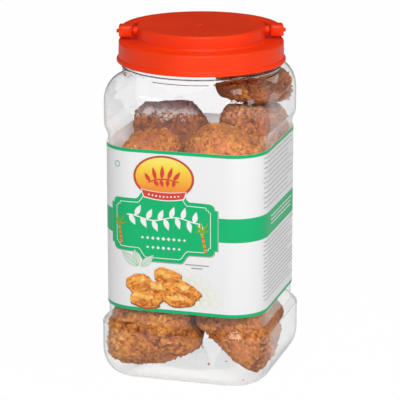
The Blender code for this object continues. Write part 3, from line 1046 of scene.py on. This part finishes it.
def print_panel(prints, middle):
    """Everything on the front panel, or on the back panel, which repeats it."""
    plaque = (middle + PLAQUE_MIDDLE[0], PLAQUE_MIDDLE[1])
    emblem = (middle + EMBLEM_MIDDLE[0], EMBLEM_MIDDLE[1])
    print_plaque(prints, *plaque)
    print_emblem(prints, *emblem)
    print_ribbon(prints, emblem[0])
    print_garland(prints, *plaque)
    print_cane(prints, middle - 35.6, 41.5, 52.5, -1.6)
    print_cane(prints, middle + 17.6, 39.6, 51.5, -2.4)
    print_pale_leaves(prints, middle)
    print_lump_picture(prints, middle)
    print_ornament(prints, middle)
    prints["ring"].line(ellipse(middle - 38.5, 90.4, 1.7, 1.7, 28), 0.4, closed=True)
    prints["small_bars"].box(middle + 4.5, middle + 19.5, 31.2, 31.9)
    prints["small_bars"].box(middle + 8.5, middle + 15.5, 29.2, 29.9)


def print_label(inks):
    """All the print, none of it lettering: stripes and band, front and back panels, side panels."""
    prints = {name: Print(f"print_{name}", inks[ink], layer) for name, ink, layer in PRINTS}
    print_stripes(prints)
    for middle in (0.0, LAP / 2):
        print_panel(prints, middle)
    rng = random.Random(11)
    for middle in (LAP / 4, 3 * LAP / 4):
        print_fine_bars(prints["small_bars"], middle, rng)
        print_band_bars(prints["band_bars"], middle, rng)
    for skin in prints.values():
        skin.finish()


# ---------------------------------------------------------------- jaggery


# How far the features of a lump's surface reach, in millimetres.
SWELL = 1.3
LEDGE = 0.75
RIDGE = 0.42
GRAIN = 1.1
CRUMB = 2.5
SPECK = 0.9
GROOVE = 1.5
SUNK = -0.7  # how the whole surface is moved, so that the features don't make a lump larger
DEEPEST = -4.0
HIGHEST = 1.9

# How strong a pale painted reflection of the studio light is on each lump that the camera sees, and how much
# smoother and lighter than usual.
LUMP_LOOKS = {
    "lump_01": (0, -0.04, 0.05),
    "lump_02": (0, 0.06, 0.02),
    "lump_09": (0, 0.0, 0.0),
    "lump_10": (0, -0.2, 0.08),
    "lump_11": (0.9, 0.1, -0.18),
    "lump_12": (0.22, -0.15, -0.04),
    "lump_13": (0.1, 0.02, -0.06),
}
HIDDEN_LUMP_LOOK = (0, 0.02, 0.0)


def lump_shape(obj_name, levels):
    """The CAD lump's mesh, welded, rounded and subdivided."""
    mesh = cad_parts[obj_name].data.copy()
    bm = bmesh.new()
    bm.from_mesh(mesh)
    bmesh.ops.remove_doubles(bm, verts=bm.verts, dist=1e-5)
    bpy.data.meshes.remove(mesh)
    cage = add_object("cage", mesh_from("cage", bm))
    sub = cage.modifiers.new("round", "SUBSURF")
    sub.levels = levels
    sub.render_levels = levels
    fine = bpy.data.meshes.new_from_object(cage.evaluated_get(bpy.context.evaluated_depsgraph_get()))
    bpy.data.objects.remove(cage)
    return fine


def keep_inside(points):
    """Presses points that would touch the jar's wall back inside it."""
    for point in points:
        across = math.hypot(point[0], point[1])
        if across > 40 * MM:
            limit = jar_radius(math.atan2(point[1], point[0]), max(point[2], 0)) - 1.25 * MM
            if across > limit:
                point[:2] *= limit / across


def read_vectors(items, name):
    """One vector for each vertex, as the rows of an array."""
    values = np.empty(len(items) * 3)
    items.foreach_get(name, values)
    return values.reshape(-1, 3)


def lump_point(point, shift, smoother, lighter):
    """A lump's surface at a point: how far out it is moved in millimetres, how light it is, how smooth."""
    q = Vector(point) * 1000 + shift * 10
    warp = noise.noise_vector(q / 8.0) * 3.0
    w = q + warp
    swell = noise.noise(w / 17.0)
    ledge = 2.6 * noise.noise(w / 13.0 + Vector((3, 1, 7)))
    step = math.floor(ledge) + smooth_step(0.0, 0.16, ledge - math.floor(ledge))
    soft = noise.noise(q / 13.0 + Vector((9, 9, 9)))
    smooth_patch = smooth_step(0.06, 0.3, soft + smoother)
    rough = 1 - 0.8 * smooth_patch
    half_rough = 0.35 + 0.65 * rough
    ridge = noise.ridged_multi_fractal(w / 6.0, 0.9, 2.3, 5, 0.85, 1.8) - 1.0
    line = noise.noise(Vector((w.x / 12.0, w.y / 12.0, w.z / 6.0)) + Vector((5, 5, 5)))
    groove = math.exp(-((line / 0.045) ** 2)) * smooth_step(-0.15, 0.3, noise.noise(q / 7.0))
    grain = noise.fractal(q / 2.0, 0.6, 2.1, 4)
    near = noise.voronoi((q + 0.4 * warp) / 2.9)[0][0]
    crumb = (0.55 - near) * smooth_step(-0.05, 0.3, noise.noise(q / 5.0 + Vector((2, 7, 4))))
    speck = 0.4 - noise.voronoi(q / 1.1)[0][0]
    lift = SUNK + SWELL * swell + LEDGE * (step - 0.7 * ledge) + RIDGE * ridge * rough
    lift += GRAIN * grain * half_rough + CRUMB * crumb * rough + SPECK * speck * rough
    lift -= GROOVE * groove * half_rough
    # How light the surface is: partly the jaggery's own golden crumbs, partly painted shade and light, with
    # grooves and low ledges darker and swells and raised parts lighter.
    light = (
        0.47
        + lighter
        + 0.11 * ridge * (0.3 + 0.7 * rough)
        - 0.42 * groove
        + 0.14 * grain
        + 0.55 * crumb * rough
        + 0.30 * speck * rough
        + 0.16 * (step - ledge - 0.35)
        + 0.16 * swell
    )
    return max(min(lift, HIGHEST), DEEPEST), light, smooth_patch


def lump_painted_reflection(point, shift, top, painted_reflection_share):
    """How much pale painted reflection of the studio light lies on a point of a lump: in spots, and most near
    the lump's top.
    """
    q = Vector(point) * 1000 + shift * 10
    high = smooth_step(top - 15 * MM, top, point[2])
    spots = noise.noise(q / 1.2) + 0.5 * noise.noise(q / 4)
    return painted_reflection_share * smooth_step(0.75, 1.25, high * 1.2 + 0.75 * spots)


def make_lump(name, material, levels, seed, painted_reflection_share, smoother, lighter):
    """One refined lump: broken plates, crumbly ridges and pits over the CAD lump's form."""
    mesh = lump_shape(name, levels)
    shift = Vector((seed * 1.37, seed * 2.11, -seed * 0.77))
    points = read_vectors(mesh.vertices, "co")
    normals = read_vectors(mesh.vertex_normals, "vector")
    top = points[:, 2].max()
    moved = np.empty_like(points)
    crumbs_and_painted_shade, tone, painted_reflection = np.zeros((3, len(points)), np.float32)
    for i, (point, normal) in enumerate(zip(points, normals)):
        lift, crumbs_and_painted_shade[i], tone[i] = lump_point(point, shift, smoother, lighter)
        moved[i] = point + normal * lift * MM
        if painted_reflection_share:
            painted_reflection[i] = lump_painted_reflection(point, shift, top, painted_reflection_share)
    keep_inside(moved)
    mesh.vertices.foreach_set("co", moved.reshape(-1))
    # The first carries lightness, partly the crumbs' own colour and partly painted shade and light; the last
    # a pale painted reflection of the studio light.
    for label, values in (("crumbs_and_painted_shade", crumbs_and_painted_shade), ("tone", tone), ("painted_reflection", painted_reflection)):
        mesh.attributes.new(label, "FLOAT", "POINT").data.foreach_set("value", values)
    mesh.update()
    obj = add_object(f"{name}_surface", mesh)
    mesh.materials.clear()
    mesh.materials.append(material)
    mesh.shade_smooth()
    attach(obj, BODY)
    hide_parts(name)
    return obj


def make_lumps():
    """All the lumps, with a finer mesh where the camera sees them."""
    material = jaggery_material()
    for index in range(1, 14):
        name = f"lump_{index:02d}"
        levels = 3 if name in LUMP_LOOKS else 2
        make_lump(name, material, levels, index * 3.3, *LUMP_LOOKS.get(name, HIDDEN_LUMP_LOOK))


def make_crumbs(material):
    """Loose crumbs on the jar's floor: some on the pushed-up middle, some on the ring round it."""
    rng = random.Random(4)
    bm = bmesh.new()
    inner = WALL + 0.1 * MM
    out = outset(0) - STAND_RING / 2
    for number in range(CRUMBS):
        size = rng.uniform(0.3, 0.75) * MM
        angle = rng.uniform(0, 2 * math.pi)
        if number % 2:
            across = square_radius(angle, PANEL_HALF + out, PANEL_CORNER + out)
            floor = inner
        else:
            across = PUSH_UP_RADIUS * rng.uniform(0.2, 0.85)
            floor = inner + PUSH_UP_HEIGHT + PUSH_UP_CROWN * (1 - across / PUSH_UP_FOOT)
        middle = Vector((across * math.cos(angle), across * math.sin(angle), floor + size * 0.8))
        made = bmesh.ops.create_icosphere(bm, subdivisions=2, radius=1)
        for vert in made["verts"]:
            rough = 1 + 0.5 * noise.noise(vert.co * 1.3 + Vector((number, 0, 0)))
            vert.co = middle + vert.co * size * rough
            vert.co.z = max(vert.co.z, floor)
    return put("loose_crumbs", bm, material, BODY, smooth=70)


# ---------------------------------------------------------------- light and camera


LIGHTS = (  # name, degrees round the jar and up, distance and size in metres, power in watts
    ("key", 15, 30, 1.1, (0.95, 0.12), 4.8),
    ("side", 70, 24, 1.1, (0.42, 0.30), 1.5),
    ("top", 30, 70, 1.2, (0.5, 0.5), 2.8),
)


def area_light(name, azimuth, elevation, distance, size, power):
    """A soft box that faces the jar's middle."""
    lamp = bpy.data.lights.new(name, "AREA")
    lamp.shape = "RECTANGLE"
    lamp.size, lamp.size_y = size
    lamp.energy = power
    obj = add_object(name, lamp)
    a, e = math.radians(azimuth), math.radians(elevation)
    target = Vector((0, 0, 0.12))
    away = Vector((math.sin(a) * math.cos(e), -math.cos(a) * math.cos(e), math.sin(e)))
    obj.location = target + distance * away
    obj.rotation_euler = (target - obj.location).to_track_quat("-Z", "Y").to_euler()
    return obj


def seen_through(nodes):
    """A node that gives 1 for what the camera sees, straight or through the clear plastic, and 0 for light
    on surfaces, and the node that knows the kind of ray."""
    rays = add_node(nodes, "LightPath")
    seen = add_node(nodes, "Math", operation="MAXIMUM")
    direct = add_node(nodes, "Math", {1: 0.5}, "LESS_THAN")
    mirrored = add_node(nodes, "MapRange", {"To Min": 1, "To Max": MIRRORED_WHITE})
    part = add_node(nodes, "Math", operation="MULTIPLY")
    both = add_node(nodes, "Math", operation="MULTIPLY")
    join(rays, "Is Camera Ray", seen, 0)
    join(rays, "Is Transmission Ray", seen, 1)
    join(rays, "Diffuse Depth", direct, 0)
    join(rays, "Glossy Depth", mirrored, "Value")
    join(seen, "Value", part, 0)
    join(mirrored, "Result", part, 1)
    join(part, "Value", both, 0)
    join(direct, "Value", both, 1)
    return both, rays


def floor_material():
    """White that glows to the camera and is matt to the light, so that it keeps a faint shadow."""
    values = {"Base Color": (0.9, 0.9, 0.9, 1), "Roughness": 0.9, "Specular IOR Level": 0.1}
    material, nodes, shader = new_material("floor_white", values)
    share = add_node(nodes, "Math", {1: FLOOR_GLOW}, "MULTIPLY")
    join(seen_through(nodes)[0], "Value", share, 0)
    mix_surface(nodes, share, "Value", shader, add_node(nodes, "Emission"))
    return material


def make_floor():
    """The white floor that the jar stands on."""
    bm = bmesh.new()
    bmesh.ops.create_grid(bm, x_segments=1, y_segments=1, size=4)
    floor = add_object("floor", mesh_from("floor", bm))
    floor.location.z = -0.1 * MM
    floor.data.materials.append(floor_material())


def make_surround():
    """The white surround: full white where the camera sees it, and dimmer as light and in reflections."""
    world = bpy.data.worlds.new("surround")
    bpy.context.scene.world = world
    world.use_nodes = True
    nodes = world.node_tree.nodes
    seen, rays = seen_through(nodes)
    lit = add_node(nodes, "MapRange", {"To Min": WORLD_LIGHT, "To Max": WORLD_GLOSS})
    join(rays, "Is Glossy Ray", lit, "Value")
    level = nodes.new("ShaderNodeMix")
    level.data_type = "FLOAT"
    set_inputs(level, {"B": 1})
    join(seen, "Value", level, "Factor")
    join(lit, "Result", level, "A")
    join(level, "Result", nodes["Background"], "Strength")
    set_inputs(nodes["Background"], {"Color": (1, 1, 1, 1)})


def make_camera():
    """The camera, in front of the jar and a little above it."""
    camera = bpy.data.cameras.new("camera")
    camera.lens = CAMERA_LENS
    camera.sensor_width = 36
    camera.clip_start = 0.05
    camera.clip_end = 20
    obj = add_object("camera", camera)
    right = Vector((math.cos(CAMERA_AZIMUTH), math.sin(CAMERA_AZIMUTH), 0))
    back = Vector((math.sin(CAMERA_AZIMUTH), -math.cos(CAMERA_AZIMUTH), 0))
    obj.location = back * CAMERA_DISTANCE + right * CAMERA_ASIDE + Vector((0, 0, CAMERA_HEIGHT))
    obj.rotation_euler = (math.pi / 2 - CAMERA_TILT, 0, CAMERA_AZIMUTH)
    bpy.context.scene.camera = obj


def main():
    """Sets the stage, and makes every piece."""
    bpy.context.scene.view_settings.view_transform = "Standard"
    make_camera()
    make_floor()
    make_surround()
    for light in LIGHTS:
        area_light(*light)

    red = red_plastic()
    make_jar(clear_plastic())
    make_lid(red)
    make_handle(red)
    make_label(label_film(), label_inside_painted_glow())
    print_label(make_inks())
    make_lumps()
    make_crumbs(plain("jaggery_crumb", (0.74, 0.25, 0.04), 0.6, bump=0.5))


main()
